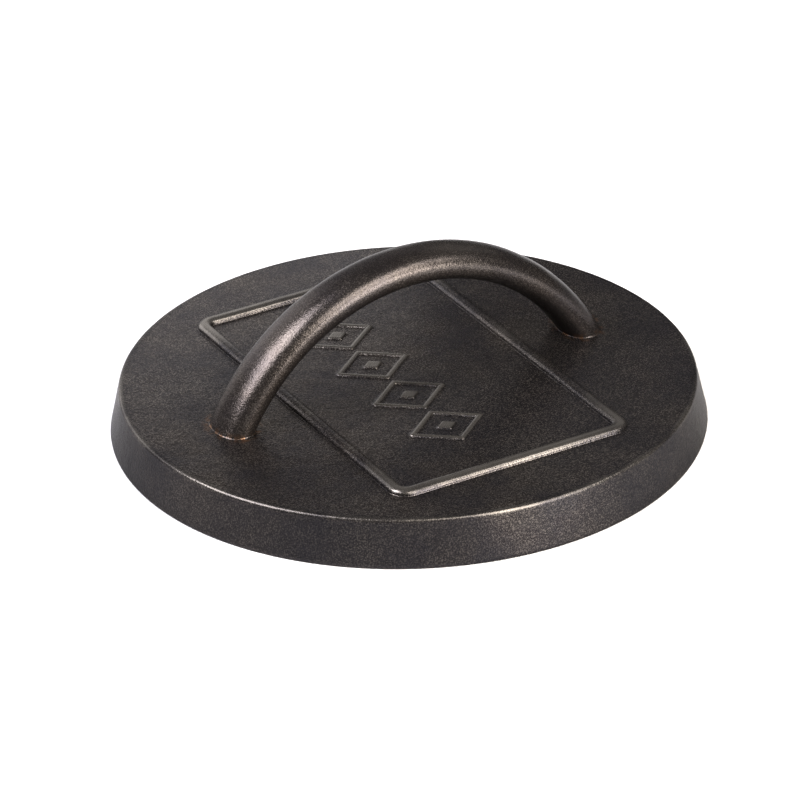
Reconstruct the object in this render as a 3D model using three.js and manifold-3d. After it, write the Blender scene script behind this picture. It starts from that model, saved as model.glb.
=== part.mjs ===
// A round cast-iron patty press: a thick disc with a flat pressing face, a raised border and a row of
// lozenges on its back, and a bow handle that springs from one side of the disc to the other.
// Millimetres, +Z up. The origin is the centre of the pressing face, and the handle's bow lies along X.
import * as THREE from 'three';
import { mergeVertices } from 'three/addons/utils/BufferGeometryUtils.js';
import Module from 'manifold-3d';

// The disc. Its wall leans in towards the top, as a casting's draft does.
const BASE_RADIUS = 79.375;
const TOP_RADIUS = 76.6;
const THICKNESS = 13;
const BASE_EDGE = 0.8;
const TOP_EDGE = 1.2;
const DISC_SIDES = 96;

// The raised border, measured to the middle of its ridge.
const BORDER_HALF_X = 33.3;
const BORDER_HALF_Y = 54.9;
const BORDER_CORNER = 3.4;
const BORDER_WIDTH = 3.9;
const BORDER_HEIGHT = 1.45;

// The row of outlined lozenges, each with a small solid one inside.
const LOZENGE_COUNT = 4;
const LOZENGE_PITCH = 19.6;
const LOZENGE_HALF_X = 11.4;
const LOZENGE_HALF_Y = 9.2;
const LOZENGE_RIDGE = 1.7;
const LOZENGE_HEART = 0.26;
const LOZENGE_RELIEF = 0.5;
const LOZENGE_ROW_X = -5.2;

// The bow handle. Its centreline is part of an ellipse whose centre lies below the disc's top.
const BOW_HALF_SPAN = 60.9;
const BOW_RISE = 65.6;
const BOW_CENTRE_DROP = 33.1;
const BOW_HALF_WIDTH = 7;
const BOW_HALF_DEPTH = 4.7;
const BOW_FOOT_SPREAD = 0.12;
const SECTION_SQUARENESS = 2.2;
const SECTION_SIDES = 24;
const BOW_STEPS = 44;
const BOW_BURIED = 3;

// The clearance that keeps the handle's feet and the disc as two separate solids.
const ROOT_GAP = 0.3;
// How far a raised feature is carried down into the disc before the two are joined.
const SUNK = 1;

const wasm = await Module();
wasm.setup();

const castIron = (name, color) =>
  new THREE.MeshStandardMaterial({ name, color, roughness: 0.5, metalness: 0.55 });

// A closed three.js geometry as a solid that can be joined and cut.
function toSolid(geometry) {
  const bare = geometry.index ? geometry.toNonIndexed() : geometry.clone();
  bare.deleteAttribute('normal');
  bare.deleteAttribute('uv');
  const merged = mergeVertices(bare);
  const corners = merged.index.array;
  const triVerts = [];
  for (let i = 0; i < corners.length; i += 3) {
    const [a, b, c] = corners.slice(i, i + 3);
    if (a !== b && b !== c && c !== a) triVerts.push(a, b, c);
  }
  return new wasm.Manifold(new wasm.Mesh({
    numProp: 3,
    vertProperties: new Float32Array(merged.attributes.position.array),
    triVerts: new Uint32Array(triVerts),
  }));
}

function toGeometry(solid) {
  const { vertProperties, triVerts } = solid.getMesh();
  const geometry = new THREE.BufferGeometry();
  geometry.setAttribute('position', new THREE.BufferAttribute(vertProperties, 3));
  geometry.setIndex(new THREE.BufferAttribute(triVerts, 1));
  geometry.computeVertexNormals();
  return geometry;
}

// A rectangle with rounded corners, centred on the origin.
function roundedRectangle(Outline, halfX, halfY, radius) {
  const outline = new Outline();
  outline.moveTo(halfX, radius - halfY);
  outline.absarc(halfX - radius, halfY - radius, radius, 0, Math.PI / 2);
  outline.absarc(radius - halfX, halfY - radius, radius, Math.PI / 2, Math.PI);
  outline.absarc(radius - halfX, radius - halfY, radius, Math.PI, 1.5 * Math.PI);
  outline.absarc(halfX - radius, radius - halfY, radius, 1.5 * Math.PI, 2 * Math.PI);
  return outline;
}

function lozenge(Outline, halfX, halfY) {
  const tips = [[halfX, 0], [0, halfY], [-halfX, 0], [0, -halfY]];
  return new Outline(tips.map(([x, y]) => new THREE.Vector2(x, y)));
}

// A flat outline raised from the disc's top, with its upper edges rounded off over bevel.
function raised(outline, height, bevel, bevelSegments, curveSegments) {
  const geometry = new THREE.ExtrudeGeometry(outline, {
    depth: SUNK + height - 2 * bevel.height,
    bevelThickness: bevel.height,
    bevelSize: bevel.width,
    bevelOffset: -bevel.width,
    bevelSegments,
    curveSegments,
  });
  return toSolid(geometry.translate(0, 0, THICKNESS - SUNK + bevel.height));
}

function disc() {
  const profile = new THREE.Path();
  const wallLean = (BASE_RADIUS - TOP_RADIUS) / (THICKNESS - BASE_EDGE);
  profile.moveTo(0, 0);
  profile.lineTo(BASE_RADIUS - BASE_EDGE, 0);
  profile.quadraticCurveTo(BASE_RADIUS, 0, BASE_RADIUS, BASE_EDGE);
  profile.lineTo(TOP_RADIUS + wallLean * TOP_EDGE, THICKNESS - TOP_EDGE);
  profile.quadraticCurveTo(TOP_RADIUS, THICKNESS, TOP_RADIUS - TOP_EDGE, THICKNESS);
  profile.lineTo(0, THICKNESS);
  const lathe = new THREE.LatheGeometry(profile.getPoints(3), DISC_SIDES);
  return toSolid(lathe.rotateX(Math.PI / 2));
}

function border() {
  const half = BORDER_WIDTH / 2;
  const outer = roundedRectangle(THREE.Shape, BORDER_HALF_X + half, BORDER_HALF_Y + half, BORDER_CORNER + half);
  const inner = roundedRectangle(THREE.Path, BORDER_HALF_X - half, BORDER_HALF_Y - half, BORDER_CORNER - half);
  outer.holes.push(inner);
  return raised(outer, BORDER_HEIGHT, { height: 1.2, width: 1.25 }, 3, 6);
}

function lozengeRow() {
  const bevel = { height: 0.3, width: 0.4 };
  const inset = LOZENGE_RIDGE * Math.hypot(LOZENGE_HALF_X, LOZENGE_HALF_Y);
  const outline = lozenge(THREE.Shape, LOZENGE_HALF_X, LOZENGE_HALF_Y);
  outline.holes.push(
    lozenge(THREE.Path, LOZENGE_HALF_X - inset / LOZENGE_HALF_Y, LOZENGE_HALF_Y - inset / LOZENGE_HALF_X));
  const heart = lozenge(THREE.Shape, LOZENGE_HALF_X * LOZENGE_HEART, LOZENGE_HALF_Y * LOZENGE_HEART);
  const one = raised(outline, LOZENGE_RELIEF, bevel, 1, 1).add(raised(heart, LOZENGE_RELIEF, bevel, 1, 1));
  let row = null;
  for (let i = 0; i < LOZENGE_COUNT; i += 1) {
    const y = (i - (LOZENGE_COUNT - 1) / 2) * LOZENGE_PITCH;
    const placed = one.translate([LOZENGE_ROW_X, y, 0]);
    row = row ? row.add(placed) : placed;
  }
  return row;
}

// The bow's centreline, from below one foot, over the crown, to below the other.
class BowLine extends THREE.Curve {
  constructor() {
    super();
    this.reach = Math.acos((BOW_CENTRE_DROP - BOW_BURIED) / BOW_RISE);
  }

  getPoint(t, target = new THREE.Vector3()) {
    const angle = (2 * t - 1) * this.reach;
    const height = THICKNESS - BOW_CENTRE_DROP + BOW_RISE * Math.cos(angle);
    return target.set(BOW_HALF_SPAN * Math.sin(angle), 0, height);
  }
}

// The handle's section: an oval with fuller shoulders than an ellipse, wide side across the bow.
function bowSection() {
  const points = [];
  for (let i = 0; i < SECTION_SIDES; i += 1) {
    const turn = (2 * Math.PI * i) / SECTION_SIDES;
    const round = (value) => Math.sign(value) * Math.abs(value) ** (2 / SECTION_SQUARENESS);
    const across = BOW_HALF_WIDTH * round(Math.cos(turn));
    points.push(new THREE.Vector2(across, BOW_HALF_DEPTH * round(Math.sin(turn))));
  }
  return new THREE.Shape(points);
}

function bowHandle() {
  const sweep = new THREE.ExtrudeGeometry(bowSection(), {
    steps: BOW_STEPS,
    extrudePath: new BowLine(),
  });
  const place = sweep.attributes.position;
  for (let i = 0; i < place.count; i += 1) {
    const towardsFoot = (place.getX(i) / BOW_HALF_SPAN) ** 2;
    place.setY(i, place.getY(i) * (1 + BOW_FOOT_SPREAD * towardsFoot));
  }
  const belowRoots = new THREE.BoxGeometry(3 * BOW_HALF_SPAN, 4 * BOW_HALF_WIDTH, THICKNESS);
  belowRoots.translate(0, 0, THICKNESS / 2 + ROOT_GAP);
  return toSolid(sweep).subtract(toSolid(belowRoots));
}

function pressPlate() {
  return disc().add(border()).add(lozengeRow());
}

function part(name, solid, material) {
  const mesh = new THREE.Mesh(toGeometry(solid), material);
  mesh.name = name;
  return mesh;
}

const press = new THREE.Group();
press.add(part('press_plate', pressPlate(), castIron('press_plate', 0x3a3634)));
press.add(part('bow_handle', bowHandle(), castIron('bow_handle', 0x403a35)));

export default press;
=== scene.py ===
"""A round cast-iron patty press: the fine surface, finish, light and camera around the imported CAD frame.

Metres, +Z up, the origin at the centre of the pressing face, the bow handle's arch along X.
"""
import math

import bpy
import numpy as np
from mathutils import Matrix, Vector, noise
from mathutils.geometry import delaunay_2d_cdt


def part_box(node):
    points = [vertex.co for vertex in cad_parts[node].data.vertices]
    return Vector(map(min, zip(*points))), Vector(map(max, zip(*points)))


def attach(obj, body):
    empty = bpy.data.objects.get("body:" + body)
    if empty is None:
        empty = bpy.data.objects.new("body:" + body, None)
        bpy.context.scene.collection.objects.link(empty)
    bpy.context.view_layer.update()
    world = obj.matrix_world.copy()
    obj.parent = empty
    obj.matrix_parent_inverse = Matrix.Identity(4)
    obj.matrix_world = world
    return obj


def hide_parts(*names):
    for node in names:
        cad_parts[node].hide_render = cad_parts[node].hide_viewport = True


MM = 0.001
BODY = "root"

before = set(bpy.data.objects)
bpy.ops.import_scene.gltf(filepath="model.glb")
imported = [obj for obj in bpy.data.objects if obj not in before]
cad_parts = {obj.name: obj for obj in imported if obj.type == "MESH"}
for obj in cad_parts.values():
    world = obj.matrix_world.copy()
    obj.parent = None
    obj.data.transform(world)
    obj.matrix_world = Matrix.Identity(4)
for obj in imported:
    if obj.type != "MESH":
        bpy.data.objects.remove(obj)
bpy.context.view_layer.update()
plate_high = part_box("press_plate")[1]
bow_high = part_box("bow_handle")[1]

# The disc. Its wall leans in by the draft.
BORDER_HEIGHT = 1.45 * MM
WALL_DRAFT = 2.775 * MM
BASE_RADIUS = plate_high.x
TOP_RADIUS = BASE_RADIUS - WALL_DRAFT
TOP_Z = plate_high.z - BORDER_HEIGHT
BASE_EDGE = 0.8 * MM
TOP_EDGE = 0.9 * MM
RIM_SIDES = 600

# The raised border, to the middle of its ridge.
BORDER_HALF_X = 33.3 * MM
BORDER_HALF_Y = 54.9 * MM
BORDER_CORNER = 3.4 * MM
BORDER_WIDTH = 3.9 * MM

# How square the section of a raised line is: 2 is half an ellipse.
RIDGE_SQUARENESS = 2.2

# The row of lozenges.
LOZENGE_COUNT = 4
LOZENGE_PITCH = 19.6 * MM
LOZENGE_HALF_X = 11.4 * MM
LOZENGE_HALF_Y = 9.2 * MM
LOZENGE_RIDGE = 1.7 * MM
LOZENGE_HEART = 0.26
LOZENGE_RELIEF = 0.5 * MM
HEART_EDGE = 0.5 * MM
LOZENGE_ROW_X = -5.2 * MM

# The bow handle's centreline and section.
BOW_HALF_SPAN = 60.9 * MM
BOW_RISE = 65.6 * MM
BOW_CENTRE_DROP = 33.1 * MM
BOW_HALF_WIDTH = 6.95 * MM
BOW_HALF_DEPTH = 4.65 * MM
BOW_FOOT_SPREAD = 0.12
SECTION_SQUARENESS = 2.2
ROOT_FILLET = 0.4 * MM
FILLET_SINK = 0.04 * MM
FILLET_RINGS = 9
BOW_BURIED = 1.0 * MM
BOW_STEPS = 340
SECTION_SIDES = 80
HALVINGS = 40

# The brown stain round each foot, to the middle of its ring.
STAIN_X = 6.4 * MM
STAIN_Y = 8.4 * MM
STAIN_BLUR = 0.17
STAIN_HEIGHT = 1.6 * MM

# How the disc is meshed: pitches on its two faces, and rings or points along each detail.
TOP_PITCH = 0.8 * MM
UNDER_PITCH = 2.6 * MM
GRID_MARGIN = 0.7
WALL_RINGS = 22
BASE_EDGE_RINGS = 6
TOP_EDGE_RINGS = 9
BORDER_ROWS = 21
BORDER_ROW_PITCH = 0.8 * MM
BORDER_CLEAR = 0.12 * MM
CORNER_POINTS = 12
LOZENGE_ROWS = 13
LOZENGE_SIDE_POINTS = 31
LOZENGE_CLEAR = 0.1 * MM
HEART_SIDE_POINTS = 13
HEART_STEEP_ROWS = 8
HEART_FLAT_ROWS = 6
MERGE_DISTANCE = 0.01 * MM
SAME_POINT_DISTANCE = 1e-9

# Small pits in the cast skin, on the wall and on the top.
WALL_PITS = 70
TOP_PITS = 60
PIT_RADIUS = (0.7 * MM, 1.3 * MM)
PIT_DEPTH = (0.03 * MM, 0.11 * MM)
PIT_SEED = 7

# Lumps in the cast skin, as (size, height) pairs: broad ones and fine ones.
DISC_LUMPS = ((11 * MM, 0.05 * MM), (2.2 * MM, 0.018 * MM))
BOW_LUMPS = ((8 * MM, 0.04 * MM), (1.8 * MM, 0.04 / 3 * MM))

# The share of the disc's height over which the wall's lumps fade in from its foot.
LUMPS_FADE_IN = 1 / 8

# How exposed to wear the iron is, from 0 to 1.
RIM_WEAR = 0.6
LONG_SIDE_WEAR = 0.35
CROWN_WEAR = 0.35

# Where wear changes: along the border's long sides, as shares of half their length, and near the rim.
LONG_SIDE_END = 0.6
LONG_SIDE_BLEND = 0.35
RIM_WEAR_DEPTH = 0.3 * TOP_EDGE
RIM_WEAR_REACH = 1.2 * TOP_EDGE

# How sandy the iron is where it isn't worn, from 0 to 1. Under the bow the number also paints shade: it
# darkens and dulls the handle's underside.
TOP_SAND = 0.1
UNDER_BOW_SAND_AND_SHADE = 0.8


def fractal(points, size, octaves, seed):
    """Smooth casting noise of about plus or minus one, with lumps of the given size."""
    shift = Vector((seed * 17.3, seed * 5.1, seed * 9.7))
    scale = 1 / size
    return np.array([noise.fractal(Vector(p) * scale + shift, 1.0, 2.0, octaves) for p in points])


# ---------------------------------------------------------------- the disc's relief


def border_distance(x, y):
    """Signed distance from the middle line of the raised border."""
    qx = np.abs(x) - (BORDER_HALF_X - BORDER_CORNER)
    qy = np.abs(y) - (BORDER_HALF_Y - BORDER_CORNER)
    outside = np.hypot(np.maximum(qx, 0), np.maximum(qy, 0))
    return outside + np.minimum(np.maximum(qx, qy), 0) - BORDER_CORNER


def ridge(distance, half_width, height):
    """The height of a raised line with steep sides and a rounded top."""
    t = np.clip(np.abs(distance) / half_width, 0, 1)
    return height * (1 - t**RIDGE_SQUARENESS) ** (1 / RIDGE_SQUARENESS)


def ridge_offsets(half_width, steps, clear):
    """Where rows of points lie across a raised line: close together on its steep sides."""
    turns = np.linspace(0, math.pi, steps)
    across = np.sign(np.cos(turns)) * np.abs(np.cos(turns)) ** (2 / RIDGE_SQUARENESS) * half_width
    return np.concatenate([[half_width + clear], across, [-half_width - clear]])


def lozenge_slant():
    return math.hypot(LOZENGE_HALF_X, LOZENGE_HALF_Y)


def lozenge_middle(offset):
    """Half sizes of a lozenge that lies offset outside the middle of the ridge."""
    inset = LOZENGE_RIDGE / 2 - offset
    return (
        LOZENGE_HALF_X - inset * lozenge_slant() / LOZENGE_HALF_Y,
        LOZENGE_HALF_Y - inset * lozenge_slant() / LOZENGE_HALF_X,
    )


def segment_distance(x, y, start, end):
    ax, ay = start
    dx, dy = end[0] - ax, end[1] - ay
    t = np.clip(((x - ax) * dx + (y - ay) * dy) / (dx * dx + dy * dy), 0, 1)
    return np.hypot(x - ax - t * dx, y - ay - t * dy)


def lozenge_centres():
    return [(i - (LOZENGE_COUNT - 1) / 2) * LOZENGE_PITCH for i in range(LOZENGE_COUNT)]


def lozenge_fold(x, y):
    """Folds the plane onto one quarter of the nearest lozenge."""
    nearest = np.round(y / LOZENGE_PITCH - 0.5) + 0.5
    limit = (LOZENGE_COUNT - 1) / 2
    nearest = np.clip(nearest, -limit, limit)
    return np.abs(x - LOZENGE_ROW_X), np.abs(y - nearest * LOZENGE_PITCH)


def lozenge_distance(x, y):
    px, py = lozenge_fold(x, y)
    half_x, half_y = lozenge_middle(0)
    return segment_distance(px, py, (half_x, 0), (0, half_y))


def heart_edge():
    """How far the sides of a small solid lozenge are from its middle."""
    return LOZENGE_HEART * LOZENGE_HALF_X * LOZENGE_HALF_Y / lozenge_slant()


def heart_depth(x, y):
    """How far inside a small solid lozenge a point lies."""
    px, py = lozenge_fold(x, y)
    return heart_edge() - (px * LOZENGE_HALF_Y + py * LOZENGE_HALF_X) / lozenge_slant()


def relief(x, y):
    """The height of border and lozenges over the plain top, and how much of a crest each point is."""
    border = ridge(border_distance(x, y), BORDER_WIDTH / 2, BORDER_HEIGHT)
    line = ridge(lozenge_distance(x, y), LOZENGE_RIDGE / 2, LOZENGE_RELIEF)
    heart = ridge(np.minimum(heart_depth(x, y) - HEART_EDGE, 0), HEART_EDGE, LOZENGE_RELIEF)
    lozenges = np.maximum(line, heart)
    towards_short_side = np.clip((np.abs(y) / BORDER_HALF_Y - LONG_SIDE_END) / LONG_SIDE_BLEND, 0, 1)
    exposed = LONG_SIDE_WEAR + (1 - LONG_SIDE_WEAR) * towards_short_side
    crest = np.clip(np.maximum(exposed * border / BORDER_HEIGHT, lozenges / LOZENGE_RELIEF), 0, 1)
    return border + lozenges, crest


# ---------------------------------------------------------------- points of the disc's faces


def rounded_rectangle(half_x, half_y, radius, pitch):
    """Points round a rectangle with rounded corners. Rows at other offsets share their places."""
    straight_x = np.linspace(-1, 1, round(2 * BORDER_HALF_X / pitch))[:-1]
    straight_y = np.linspace(-1, 1, round(2 * BORDER_HALF_Y / pitch))[:-1]
    turn = np.linspace(0, math.pi / 2, CORNER_POINTS)[:-1]
    flat_x, flat_y = half_x - radius, half_y - radius
    points = []
    for k in range(4):
        ca, sa = round(math.cos(k * math.pi / 2)), round(math.sin(k * math.pi / 2))
        along, across = (flat_y, flat_x) if k % 2 == 0 else (flat_x, flat_y)
        steps = straight_y if k % 2 == 0 else straight_x
        local = [(across + radius, s * along) for s in steps]
        local += [(across + radius * math.cos(t), along + radius * math.sin(t)) for t in turn]
        points += [(x * ca - y * sa, x * sa + y * ca) for x, y in local]
    return points


def border_rows():
    rows = []
    for offset in ridge_offsets(BORDER_WIDTH / 2, BORDER_ROWS, BORDER_CLEAR):
        half_x, half_y = BORDER_HALF_X + offset, BORDER_HALF_Y + offset
        rows += rounded_rectangle(half_x, half_y, BORDER_CORNER + offset, BORDER_ROW_PITCH)
    return rows


def lozenge_sides(half_x, half_y, steps, sign):
    """Points along two sides of a lozenge round the origin, or with sign -1 along the other two."""
    first = [(sign * half_x * (1 - t), sign * half_y * t) for t in steps]
    second = [(-sign * half_x * t, sign * half_y * (1 - t)) for t in steps]
    return first + second


def lozenge_rows():
    rows = []
    steps = np.linspace(0, 1, LOZENGE_SIDE_POINTS)[:-1]
    for offset in ridge_offsets(LOZENGE_RIDGE / 2, LOZENGE_ROWS, LOZENGE_CLEAR):
        half_x, half_y = lozenge_middle(offset)
        for middle in lozenge_centres():
            for sign in (1, -1):
                for x, y in lozenge_sides(half_x, half_y, steps, sign):
                    rows.append((LOZENGE_ROW_X + x, middle + y))
    return rows


def heart_points():
    """Rows round the small solid lozenges, from just outside their edges to their middles."""
    edge = heart_edge()
    steep = HEART_EDGE - ridge_offsets(HEART_EDGE, LOZENGE_ROWS, LOZENGE_CLEAR)[:HEART_STEEP_ROWS]
    level = np.linspace(HEART_EDGE, edge, HEART_FLAT_ROWS)[1:-1]
    steps = np.linspace(0, 1, HEART_SIDE_POINTS)[:-1]
    points = []
    for middle in lozenge_centres():
        points.append((LOZENGE_ROW_X, middle))
        for depth in [*steep, *level]:
            half_x = LOZENGE_HALF_X * LOZENGE_HEART * (1 - depth / edge)
            half_y = LOZENGE_HALF_Y * LOZENGE_HEART * (1 - depth / edge)
            for sign in (1, -1):
                for x, y in lozenge_sides(half_x, half_y, steps, sign):
                    points.append((LOZENGE_ROW_X + x, middle + y))
    return points


def hex_grid(radius, pitch):
    rows = np.arange(-radius, radius, pitch * math.sqrt(3) / 2)
    points = []
    for k, y in enumerate(rows):
        for x in np.arange(-radius, radius, pitch) + (k % 2) * pitch / 2:
            if math.hypot(x, y) < radius - pitch * GRID_MARGIN:
                points.append((x, y))
    return np.array(points)


def circle(radius):
    turns = np.arange(RIM_SIDES) * 2 * math.pi / RIM_SIDES
    return np.stack([radius * np.cos(turns), radius * np.sin(turns)], 1)


def triangulate(points):
    """Delaunay triangles over flat points whose outermost ones lie on a circle."""
    found = delaunay_2d_cdt([Vector(p) for p in points], [], [], 0, SAME_POINT_DISTANCE)
    return np.array([tuple(v) for v in found[0]]), [tuple(f) for f in found[2]]


def top_face():
    rim = TOP_RADIUS - TOP_EDGE
    grid = hex_grid(rim, TOP_PITCH)
    clear = np.abs(border_distance(grid[:, 0], grid[:, 1])) > BORDER_WIDTH / 2 + TOP_PITCH / 2
    clear &= lozenge_distance(grid[:, 0], grid[:, 1]) > LOZENGE_RIDGE / 2 + TOP_PITCH / 2
    clear &= heart_depth(grid[:, 0], grid[:, 1]) < -TOP_PITCH / 2
    parts = [circle(rim), grid[clear], border_rows(), lozenge_rows(), heart_points()]
    flat, faces = triangulate(np.concatenate([np.array(p) for p in parts]))
    height, crest = relief(flat[:, 0], flat[:, 1])
    return np.column_stack([flat, TOP_Z + height]), faces, crest


def under_face():
    rim = BASE_RADIUS - BASE_EDGE
    flat, faces = triangulate(np.concatenate([circle(rim), hex_grid(rim, UNDER_PITCH)]))
    return np.column_stack([flat, 0 * flat[:, 0]]), [f[::-1] for f in faces], 0 * flat[:, 0]


def rounded_edge(start, corner, end, steps):
    """Points from start to end that round off a corner of the disc's profile."""
    t = np.linspace(0, 1, steps)[:, None]
    return (1 - t) ** 2 * np.array(start) + 2 * t * (1 - t) * np.array(corner) + t**2 * np.array(end)


def ring_faces(rings, sides):
    """Four-sided faces that join each closed ring of points to the next."""
    faces = []
    for k in range(rings - 1):
        a, b = k * sides, (k + 1) * sides
        for i in range(sides):
            j = (i + 1) % sides
            faces.append((a + i, a + j, b + j, b + i))
    return faces


def wall():
    """Rings from the edge of the pressing face up to the edge of the top."""
    lean = (BASE_RADIUS - TOP_RADIUS) / (TOP_Z - BASE_EDGE)
    foot_end = (BASE_RADIUS, BASE_EDGE)
    foot = rounded_edge((BASE_RADIUS - BASE_EDGE, 0), (BASE_RADIUS, 0), foot_end, BASE_EDGE_RINGS)
    shoulder = (TOP_RADIUS + lean * TOP_EDGE, TOP_Z - TOP_EDGE)
    rim = (TOP_RADIUS - TOP_EDGE, TOP_Z)
    edge = rounded_edge(shoulder, (TOP_RADIUS, TOP_Z), rim, TOP_EDGE_RINGS)
    side = np.linspace(foot[-1], shoulder, WALL_RINGS)[1:-1]
    profile = np.concatenate([foot, side, edge])
    points, crest = [], []
    for radius, z in profile:
        points.append(np.column_stack([circle(radius), np.full(RIM_SIDES, z)]))
        near_edge = max(0.0, 1 - abs(z - (TOP_Z - RIM_WEAR_DEPTH)) / RIM_WEAR_REACH)
        crest.append(np.full(RIM_SIDES, RIM_WEAR * near_edge))
    faces = ring_faces(len(profile), RIM_SIDES)
    return np.concatenate(points), faces, np.concatenate(crest)


def mesh_object(name, points, faces, traits, material):
    """A smooth mesh whose traits, one number per point each, are attributes that the finish reads."""
    mesh = bpy.data.meshes.new(name)
    mesh.from_pydata([tuple(p) for p in points], [], faces)
    for kind, values in traits.items():
        layer = mesh.attributes.new(kind, "FLOAT", "POINT")
        layer.data.foreach_set("value", np.asarray(values, np.float32))
    mesh.polygons.foreach_set("use_smooth", np.ones(len(mesh.polygons), bool))
    mesh.materials.append(material)
    mesh.update()
    piece = bpy.data.objects.new(name, mesh)
    bpy.context.scene.collection.objects.link(piece)
    return piece


def merged(patches):
    """Patches that share their edge points, as one list of points, faces and crests."""
    keys, points, crest, faces = {}, [], [], []
    for patch_points, patch_faces, patch_crest in patches:
        place = []
        for p, c in zip(patch_points, patch_crest):
            key = tuple(np.round(p / MERGE_DISTANCE).astype(int))
            if key not in keys:
                keys[key] = len(points)
                points.append(p)
                crest.append(c)
            place.append(keys[key])
        faces += [tuple(place[i] for i in f) for f in patch_faces]
    return np.array(points), faces, np.array(crest)


def pits(points):
    """How deep small round pits, scattered over the wall and the top, sink each point."""
    random = np.random.default_rng(PIT_SEED)
    depth = np.zeros(len(points))
    for k in range(WALL_PITS + TOP_PITS):
        turn = random.uniform(0, 2 * math.pi)
        if k < WALL_PITS:
            height = random.uniform(2 * BASE_EDGE, TOP_Z - 2 * TOP_EDGE)
            radius = BASE_RADIUS + (TOP_RADIUS - BASE_RADIUS) * height / TOP_Z
        else:
            height, radius = TOP_Z, (TOP_RADIUS - 2 * TOP_EDGE) * math.sqrt(random.uniform(0, 1))
        middle = np.array([radius * math.cos(turn), radius * math.sin(turn), height])
        size, deep = random.uniform(*PIT_RADIUS), random.uniform(*PIT_DEPTH)
        reach = np.linalg.norm(points - middle, axis=1) / size
        depth = np.maximum(depth, deep * np.clip(1 - reach**2, 0, 1) ** 1.5)
    return depth


def foot_stain(points):
    """A ring round each foot of the handle where the iron has gone brown."""
    foot_x = BOW_HALF_SPAN * math.sqrt(1 - (BOW_CENTRE_DROP / BOW_RISE) ** 2)
    ring = np.hypot((np.abs(points[:, 0]) - foot_x) / STAIN_X, points[:, 1] / STAIN_Y)
    return np.clip(1 - np.abs(ring - 1) / STAIN_BLUR, 0, 1) * (points[:, 2] > TOP_Z / 2)


def press_casting(material):
    points, faces, crest = merged([under_face(), wall(), top_face()])
    radius = np.hypot(points[:, 0], points[:, 1])
    rise = np.clip(points[:, 2] / TOP_Z, 0, 1)
    on_wall = np.clip((radius - TOP_RADIUS + 2 * TOP_EDGE) / TOP_EDGE, 0, 1)
    sand_and_shade = TOP_SAND + (1 - TOP_SAND) * on_wall * (1 - crest)
    rust = foot_stain(points)
    (broad, broad_height), (fine, fine_height) = DISC_LUMPS
    swell = fractal(points, broad, octaves=3, seed=1) * broad_height
    swell += fractal(points, fine, octaves=2, seed=2) * fine_height
    swell -= pits(points) * (1 - crest)
    outward = points[:, :2] / np.maximum(radius, MM)[:, None]
    pressed = np.minimum(swell - broad_height, 0) * on_wall * np.minimum(1, rise / LUMPS_FADE_IN)
    points[:, :2] += outward * pressed[:, None]
    points[:, 2] += swell * (1 - on_wall) * (points[:, 2] > TOP_Z / 2)
    traits = {"crest": crest, "sand_and_shade": sand_and_shade, "rust": rust, "handled_and_painted_light": 0 * crest}
    return mesh_object("press_casting", points, faces, traits, material)


# ---------------------------------------------------------------- the bow handle


def bow_point(angle, across, deep):
    """A point of the handle's skin: angle along the bow, across and deep round its section."""
    slope = np.hypot(BOW_RISE * np.sin(angle), BOW_HALF_SPAN * np.cos(angle))
    out_x = BOW_RISE * np.sin(angle) / slope
    out_z = BOW_HALF_SPAN * np.cos(angle) / slope
    x = BOW_HALF_SPAN * np.sin(angle) + deep * BOW_HALF_DEPTH * out_x
    z = TOP_Z - BOW_CENTRE_DROP + BOW_RISE * np.cos(angle) + deep * BOW_HALF_DEPTH * out_z
    spread = 1 + BOW_FOOT_SPREAD * (x / BOW_HALF_SPAN) ** 2
    return np.stack([x, across * BOW_HALF_WIDTH * spread, z], -1)


def angle_at_height(height, across, deep):
    """The angle at which each line along the handle comes down to a height, found by halving."""
    low, high = np.zeros_like(across), np.full_like(across, math.pi / 2)
    for _ in range(HALVINGS):
        middle = (low + high) / 2
        above = bow_point(middle, across, deep)[:, 2] > height
        low, high = np.where(above, middle, low), np.where(above, high, middle)
    return low


def section_round():
    turns = np.arange(SECTION_SIDES) * 2 * math.pi / SECTION_SIDES
    power = 2 / SECTION_SQUARENESS
    across = np.sign(np.cos(turns)) * np.abs(np.cos(turns)) ** power
    deep = np.sign(np.sin(turns)) * np.abs(np.sin(turns)) ** power
    return across, deep


def foot_rings(across, deep, side):
    """Rings from the leg's end down through its root fillet, and into the disc."""
    start = bow_point(side * angle_at_height(TOP_Z + ROOT_FILLET, across, deep), across, deep)
    corner = bow_point(side * angle_at_height(TOP_Z, across, deep), across, deep)
    ahead, behind = np.roll(corner, -1, 0), np.roll(corner, 1, 0)
    tangent = ahead - behind
    out = np.stack([tangent[:, 1], -tangent[:, 0], 0 * tangent[:, 0]], -1)
    out *= np.sign((out * (corner - corner.mean(0))).sum(1))[:, None]
    out /= np.linalg.norm(out, axis=1)[:, None]
    landing = corner + out * ROOT_FILLET - [0, 0, FILLET_SINK]
    rings = []
    for t in np.linspace(0, 1, FILLET_RINGS)[1:]:
        rings.append((1 - t) ** 2 * start + 2 * t * (1 - t) * corner + t**2 * landing)
    rings.append(corner * [1, 1, 0] + [0, 0, TOP_Z - BOW_BURIED])
    return rings


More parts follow.
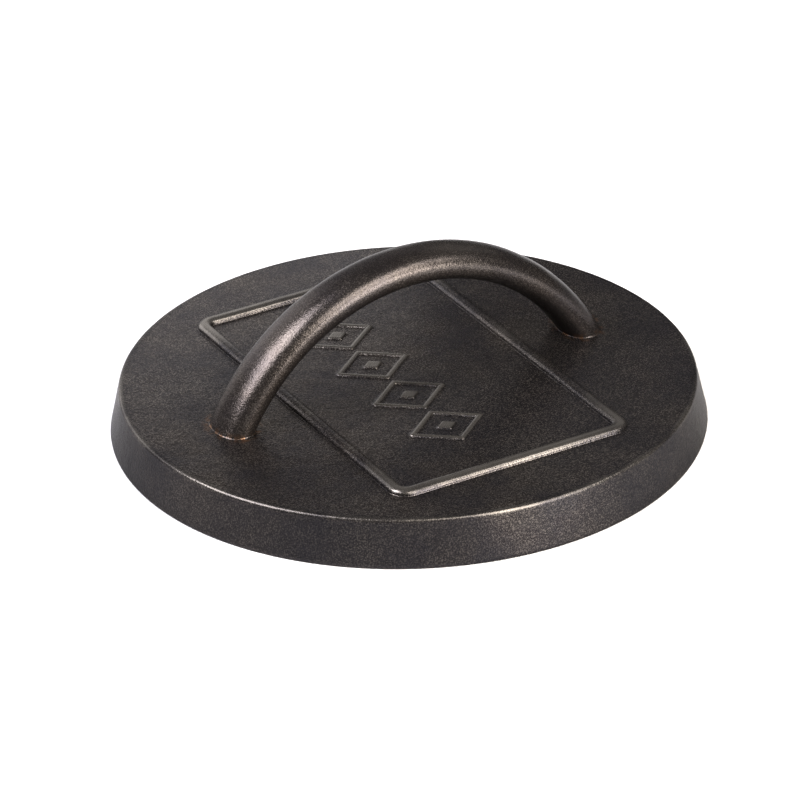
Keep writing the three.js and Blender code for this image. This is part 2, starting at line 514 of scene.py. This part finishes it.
def bow_casting(material):
    across, deep = section_round()
    reach = angle_at_height(TOP_Z + ROOT_FILLET, across, deep)
    rings = foot_rings(across, deep, -1)[::-1]
    for t in np.linspace(-1, 1, BOW_STEPS):
        rings.append(bow_point(t * reach, across, deep))
    rings += foot_rings(across, deep, 1)
    points = np.concatenate(rings)
    faces = ring_faces(len(rings), SECTION_SIDES)
    for first in (0, (len(rings) - 1) * SECTION_SIDES):
        middle = len(points)
        points = np.vstack([points, points[first:first + SECTION_SIDES].mean(0)])
        for i in range(SECTION_SIDES):
            pair = (first + i, first + (i + 1) % SECTION_SIDES)
            faces.append((middle, *(pair if first else pair[::-1])))
    crown = np.clip((points[:, 2] - TOP_Z) / (bow_high.z - TOP_Z), 0, 1)
    underneath = np.append(np.tile(np.clip(-deep, 0, 1), len(rings)), [0, 0])
    low = np.clip(1 - (points[:, 2] - TOP_Z) / STAIN_HEIGHT, 0, 1)
    traits = {
        "crest": CROWN_WEAR * crown,
        # The underside of the bow gets painted shade: its iron is made darker and duller there.
        "sand_and_shade": UNDER_BOW_SAND_AND_SHADE * underneath,
        "rust": low,
        # The whole handle is marked: its iron is made lighter, partly as painted light, and smoother and
        # duller from handling.
        "handled_and_painted_light": 0 * low + 1,
    }
    piece = mesh_object("bow_casting", points, faces, traits, material)
    lumps(piece)
    return piece


def lumps(piece):
    """Moves the skin in and out a little along its normals, as a sand mould leaves it."""
    mesh = piece.data
    count = len(mesh.vertices)
    points, normals = np.zeros(count * 3), np.zeros(count * 3)
    mesh.vertices.foreach_get("co", points)
    mesh.vertices.foreach_get("normal", normals)
    points, normals = points.reshape(-1, 3), normals.reshape(-1, 3)
    (broad, broad_height), (fine, fine_height) = BOW_LUMPS
    swell = fractal(points, broad, octaves=3, seed=3) * broad_height
    swell += fractal(points, fine, octaves=2, seed=4) * fine_height
    swell = np.minimum(swell - broad_height / 2, 0.5 * broad_height)
    points += normals * swell[:, None]
    mesh.vertices.foreach_set("co", points.ravel())
    mesh.update()


# ---------------------------------------------------------------- the finish


class Nodes:
    """A short way to add and join shader nodes."""

    def __init__(self, tree):
        self.tree = tree

    def add(self, kind, settings=None, **inputs):
        node = self.tree.nodes.new(kind)
        for name, value in (settings or {}).items():
            setattr(node, name, value)
        for name, value in inputs.items():
            self.put(node, name.replace("_", " "), value)
        return node

    def put(self, node, name, value):
        socket = node.inputs[int(name)] if name.isdigit() else node.inputs[name]
        if isinstance(value, bpy.types.NodeSocket):
            self.tree.links.new(value, socket)
        else:
            socket.default_value = value

    def trait(self, name):
        return self.add("ShaderNodeAttribute", {"attribute_name": name}).outputs["Fac"]

    def noise(self, place, scale, detail=2.0, roughness=0.5):
        made = self.add("ShaderNodeTexNoise", Vector=place, Scale=scale, Detail=detail, Roughness=roughness)
        return made.outputs["Fac"]

    def ramp(self, value, low, high, to_low=0.0, to_high=1.0):
        made = self.add("ShaderNodeMapRange", None, Value=value)
        for name, number in zip(("From Min", "From Max", "To Min", "To Max"), (low, high, to_low, to_high)):
            made.inputs[name].default_value = number
        return made.outputs["Result"]

    def maths(self, operation, a, b):
        made = self.add("ShaderNodeMath", {"operation": operation})
        self.put(made, "0", a)
        self.put(made, "1", b)
        return made.outputs[0]

    def mix(self, amount, a, b):
        made = self.add("ShaderNodeMix", {"data_type": "RGBA"})
        self.put(made, "0", amount)
        self.put(made, "6", a)
        self.put(made, "7", b)
        return made.outputs[2]

    def bump(self, height, distance, strength=1.0, under=None):
        made = self.add("ShaderNodeBump", None, Height=height, Distance=distance, Strength=strength)
        if under:
            self.put(made, "Normal", under)
        return made.outputs["Normal"]


# The iron's colours, as linear RGB with alpha, and how its surface reflects.
COOL_IRON = (0.029, 0.027, 0.030, 1)
WARM_IRON = (0.042, 0.036, 0.032, 1)
CLOUDED_IRON = (0.032, 0.032, 0.037, 1)
# The handle's lighter iron: handling wear, and painted light that stands in for light on the handle's
# flanks.
HANDLED_IRON_AND_PAINTED_LIGHT = (0.060, 0.049, 0.043, 1)
WORN_IRON = (0.120, 0.113, 0.104, 1)
PORE = (0.004, 0.004, 0.004, 1)
# The near-black that sandy iron goes towards; under the bow it is painted shade.
DARK_SAND_AND_PAINTED_SHADE = (0.008, 0.008, 0.010, 1)
SPECK = (0.122, 0.110, 0.100, 1)
RUST = (0.120, 0.066, 0.036, 1)
EDGE_TINT = (0.50, 0.50, 0.50, 1)
IRON_METALLIC = 0.85
IRON_IOR = 1.45

# Noise scales, in lumps to the metre, and how deep the bump of each is.
SPECK_SCALE = 2800.0
GRAIN_SCALE, GRAIN_DEPTH = 2600.0, 0.04 * MM
SAND_SCALE, SAND_DEPTH = 1300.0, 0.07 * MM
PEBBLE_SCALE, PEBBLE_DEPTH = 480.0, 0.06 * MM
STAIN_SCALE = 420.0
PATCH_SCALE = 55.0
CLOUD_SCALE = 16.0


def iron_colour(n, place, traits, grain, patches, speck):
    """Near-black iron in cool and warm patches, with pores, specks, brown stains and worn edges, painted
    shade under the bow, and a handle made lighter partly as painted light.
    """
    cloud = n.noise(place, CLOUD_SCALE, 2.0, 0.5)
    blotch = n.noise(place, STAIN_SCALE, 2.0, 0.6)

    ground = n.mix(n.ramp(patches, 0.35, 0.65), COOL_IRON, WARM_IRON)
    ground = n.mix(n.ramp(cloud, 0.4, 0.6, 0.0, 0.5), ground, CLOUDED_IRON)
    ground = n.mix(n.ramp(grain, 0.34, 0.52, 0.80, 0.0), ground, PORE)
    # Darker where sandy: duller sand on the wall, painted shade on the bow's underside.
    ground = n.mix(n.maths("MULTIPLY", traits["sand_and_shade"], 0.62), ground, DARK_SAND_AND_PAINTED_SHADE)

    # Fewer light specks where sandy; under the bow this deepens the painted shade.
    speck_share = n.ramp(traits["sand_and_shade"], 0.1, 1.0, 1.0, 0.45)
    shown = n.maths("MULTIPLY", speck_share, n.ramp(patches, 0.35, 0.65, 0.3, 0.8))
    shown = n.maths("MULTIPLY", shown, n.ramp(traits["handled_and_painted_light"], 0.0, 1.0, 1.0, 0.7))
    ground = n.mix(n.maths("MULTIPLY", speck, shown), ground, SPECK)
    # The whole handle a little lighter and browner: partly handling wear, partly painted light on its
    # flanks.
    ground = n.mix(n.ramp(traits["handled_and_painted_light"], 0.0, 1.0, 0.0, 0.22), ground, HANDLED_IRON_AND_PAINTED_LIGHT)

    stain = n.maths("MULTIPLY", traits["rust"], n.ramp(blotch, 0.48, 0.62))
    ground = n.mix(n.maths("MULTIPLY", stain, 0.65), ground, RUST)
    uneven = n.maths("ADD", traits["crest"], n.ramp(patches, 0.3, 0.7, -0.30, 0.15))
    return n.mix(n.ramp(uneven, 0.25, 0.95), ground, WORN_IRON)


def iron_roughness(n, traits, grain, patches, speck):
    """Satin, duller where it is sandy or under the bow, specked or much handled."""
    rough = n.maths("ADD", n.ramp(patches, 0.3, 0.7, 0.22, 0.17), n.maths("MULTIPLY", traits["sand_and_shade"], 0.12))
    rough = n.maths("ADD", rough, n.ramp(grain, 0.4, 0.7, 0.05, -0.05))
    rough = n.maths("ADD", rough, n.ramp(speck, 0.0, 1.0, 0.0, 0.09))
    return n.maths("ADD", rough, n.ramp(traits["handled_and_painted_light"], 0.0, 1.0, 0.0, 0.05))


def iron_normal(n, place, traits, grain):
    """The cast skin's fine relief, smoothed where it is worn or handled."""
    unworn = n.ramp(traits["crest"], 0.2, 0.9, 1.0, 0.35)
    strength = n.maths("MULTIPLY", unworn, n.ramp(traits["handled_and_painted_light"], 0.0, 1.0, 1.0, 0.7))
    normal = n.bump(n.noise(place, PEBBLE_SCALE, 2.0, 0.55), PEBBLE_DEPTH, strength)
    normal = n.bump(n.noise(place, SAND_SCALE, 2.0, 0.5), SAND_DEPTH, strength, normal)
    return n.bump(grain, GRAIN_DEPTH, strength, normal)


def seasoned_iron():
    material = bpy.data.materials.new("seasoned_iron")
    material.use_nodes = True
    tree = material.node_tree
    tree.nodes.clear()
    n = Nodes(tree)
    place = n.add("ShaderNodeTexCoord").outputs["Object"]
    traits = {name: n.trait(name) for name in ("crest", "sand_and_shade", "rust", "handled_and_painted_light")}
    grain = n.noise(place, GRAIN_SCALE, 2.0, 0.6)
    patches = n.noise(place, PATCH_SCALE, 3.0, 0.6)
    speck = n.ramp(n.noise(place, SPECK_SCALE, 1.0, 0.5), 0.50, 0.65)

    rough = iron_roughness(n, traits, grain, patches, speck)
    normal = iron_normal(n, place, traits, grain)
    shader = n.add("ShaderNodeBsdfPrincipled", None, Roughness=rough, Normal=normal)
    n.put(shader, "Base Color", iron_colour(n, place, traits, grain, patches, speck))
    shader.inputs["Metallic"].default_value = IRON_METALLIC
    shader.inputs["IOR"].default_value = IRON_IOR
    shader.inputs["Specular Tint"].default_value = EDGE_TINT
    out = n.add("ShaderNodeOutputMaterial")
    tree.links.new(shader.outputs[0], out.inputs["Surface"])
    return material


# ---------------------------------------------------------------- the studio

# The camera is turned from square on to the bow. Its distance and its aim are in disc radii.
VIEW_TURN = math.radians(28.9042)
VIEW_ELEVATION = math.radians(28.542)
VIEW_ROLL = math.radians(-1.634)
VIEW_DISTANCE = 16.177
VIEW_AIM_RIGHT = -0.0283
VIEW_AIM_UP = 0.0621
LENS = 217.1
SENSOR_WIDTH = 36
CLIP = (0.05, 20)

# The floor and the light that comes from all round.
FLOOR_HALF = 6.0
FLOOR_COLOUR = (0.62, 0.63, 0.65, 1)
FLOOR_ROUGHNESS = 0.9
SKY_COLOUR = (1.0, 0.98, 0.97, 1)
SKY_STRENGTH = 0.05

RIGHT = Vector((math.cos(VIEW_TURN), -math.sin(VIEW_TURN), 0))
AWAY = Vector((math.sin(VIEW_TURN), math.cos(VIEW_TURN), 0))
UP = Vector((0, 0, 1))


def camera():
    back = math.sin(VIEW_ELEVATION) * UP - math.cos(VIEW_ELEVATION) * AWAY
    up = back.cross(RIGHT)
    aim = (VIEW_AIM_RIGHT * RIGHT + VIEW_AIM_UP * up) * BASE_RADIUS
    right = math.cos(VIEW_ROLL) * RIGHT + math.sin(VIEW_ROLL) * up
    up = back.cross(right)
    data = bpy.data.cameras.new("camera")
    data.lens = LENS
    data.sensor_width = SENSOR_WIDTH
    data.clip_start, data.clip_end = CLIP
    made = bpy.data.objects.new("camera", data)
    made.matrix_world = Matrix.Translation(aim + back * VIEW_DISTANCE * BASE_RADIUS) @ Matrix(
        (right, up, back)).transposed().to_4x4()
    bpy.context.scene.collection.objects.link(made)
    bpy.context.scene.camera = made


def direction(azimuth, elevation):
    """A direction from the press, in degrees: azimuth 0 is away from the camera, 90 is to its right."""
    turn, rise = math.radians(azimuth), math.radians(elevation)
    level = math.sin(turn) * RIGHT + math.cos(turn) * AWAY
    return math.cos(rise) * level + math.sin(rise) * UP


def softbox(name, start, end, width, radiance, colour, distance=1.0):
    """A long, evenly bright light that faces the press and reaches from one direction to another."""
    first, last = direction(*start) * distance, direction(*end) * distance
    middle = (first + last) / 2
    along = (last - first).normalized()
    facing = (middle - middle.dot(along) * along).normalized()
    data = bpy.data.lights.new(name, "AREA")
    data.shape = "RECTANGLE"
    data.size, data.size_y = (last - first).length, width
    data.energy = radiance * math.pi * data.size * data.size_y
    data.color = colour
    made = bpy.data.objects.new(name, data)
    made.matrix_world = Matrix.Translation(middle) @ Matrix(
        (along, facing.cross(along), facing)).transposed().to_4x4()
    bpy.context.scene.collection.objects.link(made)


def floor():
    mesh = bpy.data.meshes.new("floor")
    signs = ((-1, -1), (1, -1), (1, 1), (-1, 1))
    corners = [(x * FLOOR_HALF, y * FLOOR_HALF, 0) for x, y in signs]
    mesh.from_pydata(corners, [], [(0, 1, 2, 3)])
    material = bpy.data.materials.new("floor")
    material.use_nodes = True
    shader = material.node_tree.nodes["Principled BSDF"]
    shader.inputs["Base Color"].default_value = FLOOR_COLOUR
    shader.inputs["Roughness"].default_value = FLOOR_ROUGHNESS
    shader.inputs["Specular IOR Level"].default_value = 0.0
    mesh.materials.append(material)
    made = bpy.data.objects.new("floor", mesh)
    bpy.context.scene.collection.objects.link(made)


def studio():
    world = bpy.data.worlds.new("studio")
    bpy.context.scene.world = world
    world.use_nodes = True
    background = world.node_tree.nodes["Background"]
    background.inputs["Color"].default_value = SKY_COLOUR
    background.inputs["Strength"].default_value = SKY_STRENGTH
    softbox("left_softbox", (-96, 31), (-118, 62), width=0.60, radiance=18.8, colour=(1.0, 0.96, 0.99))
    softbox("low_right_softbox", (138, 5), (134, 28), width=0.16, radiance=22.0, colour=(1.0, 0.93, 0.86),
            distance=0.34)
    softbox("right_softbox", (143, 27), (136, 60), width=0.58, radiance=15.0, colour=(1.0, 0.92, 0.83))
    softbox("upper_right_softbox", (118, 60), (92, 42), width=0.28, radiance=6.5, colour=(1.0, 0.94, 0.89))
    softbox("far_left_card", (-42, 4), (-52, 42), width=0.50, radiance=2.2, colour=(1.0, 0.98, 0.99))
    softbox("far_card", (-24, 28), (40, 28), width=0.36, radiance=0.4, colour=(1.0, 0.98, 0.98))
    softbox("back_card", (-60, 18), (0, 16), width=0.07, radiance=1.8, colour=(1.0, 0.98, 0.98),
            distance=0.20)
    bpy.context.scene.view_settings.view_transform = "Standard"


camera()
studio()
floor()
iron = seasoned_iron()
for piece, node in ((press_casting(iron), "press_plate"), (bow_casting(iron), "bow_handle")):
    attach(piece, BODY)
    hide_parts(node)

bpy.context.view_layer.update()
